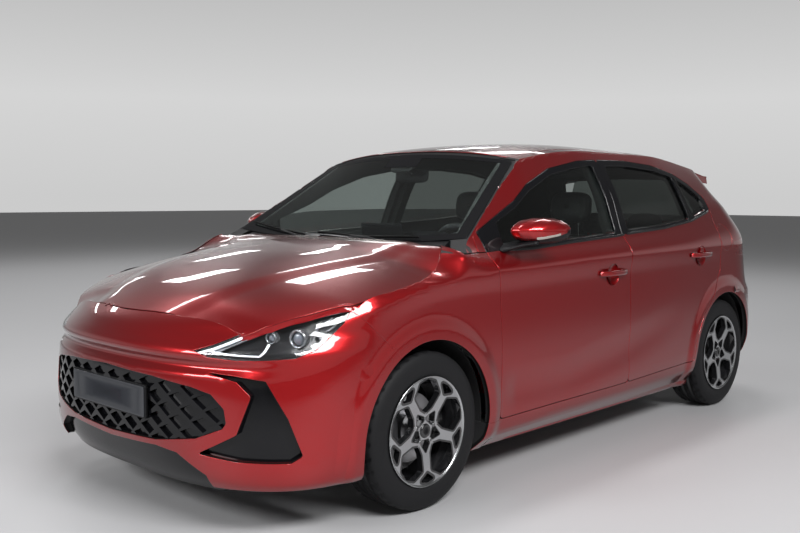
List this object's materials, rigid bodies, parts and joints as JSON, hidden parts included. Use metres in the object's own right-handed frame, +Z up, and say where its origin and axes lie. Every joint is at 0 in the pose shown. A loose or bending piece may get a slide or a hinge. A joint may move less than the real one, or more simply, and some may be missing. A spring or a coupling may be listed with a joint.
{
  "type": "passenger hatchback car",
  "caption": "Five-door hatchback car with opening doors, bonnet and tailgate, steered front wheels and four free-rolling wheels.",
  "frame": {"origin": "on the ground under the centre of the car's bounding box", "axes": "+X forward, +Y to the car's left, +Z up"},
  "size_m": [4.111, 2.0432, 1.5019],
  "materials": {
    "body_paint": "glossy metallic red",
    "lamp_lens": "clear lens",
    "lamp_red": "red lens",
    "black_plastic": "satin black",
    "clear_glass": "clear",
    "dark_glass": "dark tint",
    "under_body": "matt sealant",
    "steel": "painted dark",
    "exhaust_steel": "dull",
    "engine_metal": "cast",
    "interior_plastic": "grained black",
    "seat_fabric": "woven black",
    "tyre_rubber": "matt",
    "rim_metal": "machined faces and dark pockets",
    "disc_iron": "turned"
  },
  "bodies": {
    "shell": {"floor_pan": "under_body", "body_sides": "body_paint", "roof": "body_paint", "front_fenders": "body_paint", "front_bumper": "body_paint", "grille": "black_plastic", "headlamps": "lamp_lens", "rear_bumper": "body_paint", "tail_lamps": "lamp_red", "windscreen": "clear_glass", "cowl": "black_plastic", "wheel_housings": "under_body", "front_subframe": "steel", "rear_axle": "steel", "exhaust": "exhaust_steel", "engine": "engine_metal", "dashboard": "interior_plastic", "front_seats": "seat_fabric", "rear_bench": "seat_fabric"},
    "bonnet": {"bonnet": "body_paint"},
    "tailgate": {"tailgate": "body_paint", "tailgate_glass": "dark_glass"},
    "steering_wheel": {"steering_wheel": "interior_plastic"},
    "front_door_left": {"front_door_left": "body_paint", "front_door_glass_left": "clear_glass", "mirror_left": "body_paint"},
    "rear_door_left": {"rear_door_left": "body_paint", "rear_door_glass_left": "dark_glass"},
    "knuckle_left": {"knuckle_left": "steel"},
    "wheel_front_left": {"tyre_front_left": "tyre_rubber", "rim_front_left": "rim_metal", "brake_disc_front_left": "disc_iron"},
    "wheel_rear_left": {"tyre_rear_left": "tyre_rubber", "rim_rear_left": "rim_metal", "brake_disc_rear_left": "disc_iron"},
    "front_door_right": {"front_door_right": "body_paint", "front_door_glass_right": "clear_glass", "mirror_right": "body_paint"},
    "rear_door_right": {"rear_door_right": "body_paint", "rear_door_glass_right": "dark_glass"},
    "knuckle_right": {"knuckle_right": "steel"},
    "wheel_front_right": {"tyre_front_right": "tyre_rubber", "rim_front_right": "rim_metal", "brake_disc_front_right": "disc_iron"},
    "wheel_rear_right": {"tyre_rear_right": "tyre_rubber", "rim_rear_right": "rim_metal", "brake_disc_rear_right": "disc_iron"}
  },
  "joints": [
    {"name": "bonnet_hinge", "type": "hinge", "parent": "shell", "child": "bonnet", "pos_m": [0.905, 0, 1.024], "axis": [0, -1, 0], "range_deg": [0, 50]},
    {"name": "tailgate_hinge", "type": "hinge", "parent": "shell", "child": "tailgate", "pos_m": [-1.5595, 0, 1.437], "axis": [0, 1, 0], "range_deg": [0, 80]},
    {"name": "front_door_left_hinge", "type": "hinge", "parent": "shell", "child": "front_door_left", "pos_m": [0.788, 0.886, 0.6], "axis": [0, 0, -1], "range_deg": [0, 65]},
    {"name": "rear_door_left_hinge", "type": "hinge", "parent": "shell", "child": "rear_door_left", "pos_m": [-0.3015, 0.89, 0.6], "axis": [0, 0, -1], "range_deg": [0, 65]},
    {"name": "front_door_right_hinge", "type": "hinge", "parent": "shell", "child": "front_door_right", "pos_m": [0.788, -0.886, 0.6], "axis": [0, 0, 1], "range_deg": [0, 65]},
    {"name": "rear_door_right_hinge", "type": "hinge", "parent": "shell", "child": "rear_door_right", "pos_m": [-0.3015, -0.89, 0.6], "axis": [0, 0, 1], "range_deg": [0, 65]},
    {"name": "steer_left", "type": "hinge", "parent": "shell", "child": "knuckle_left", "pos_m": [1.1865, 0.665, 0.49], "axis": [0, -0.1592, 0.9872], "range_deg": [-33, 33]},
    {"name": "wheel_front_left_spin", "type": "hinge", "parent": "knuckle_left", "child": "wheel_front_left", "pos_m": [1.1865, 0.77, 0.3105], "axis": [0, 1, 0], "continuous": true},
    {"name": "wheel_rear_left_spin", "type": "hinge", "parent": "shell", "child": "wheel_rear_left", "pos_m": [-1.3835, 0.77, 0.3105], "axis": [0, 1, 0], "continuous": true},
    {"name": "steer_right", "type": "hinge", "parent": "shell", "child": "knuckle_right", "pos_m": [1.1865, -0.665, 0.49], "axis": [0, 0.1592, 0.9872], "range_deg": [-33, 33]},
    {"name": "wheel_front_right_spin", "type": "hinge", "parent": "knuckle_right", "child": "wheel_front_right", "pos_m": [1.1865, -0.77, 0.3105], "axis": [0, 1, 0], "continuous": true},
    {"name": "wheel_rear_right_spin", "type": "hinge", "parent": "shell", "child": "wheel_rear_right", "pos_m": [-1.3835, -0.77, 0.3105], "axis": [0, 1, 0], "continuous": true},
    {"name": "steering_wheel_turn", "type": "hinge", "parent": "shell", "child": "steering_wheel", "pos_m": [0.33, 0.345, 0.905], "axis": [-0.9131, 0, 0.4078], "range_deg": [-462.1, 462.1]}
  ],
  "couplings": [
    {"joint": "steer_right", "follows": "steer_left", "ratio": 1},
    {"joint": "steering_wheel_turn", "follows": "steer_left", "ratio": 14}
  ]
}
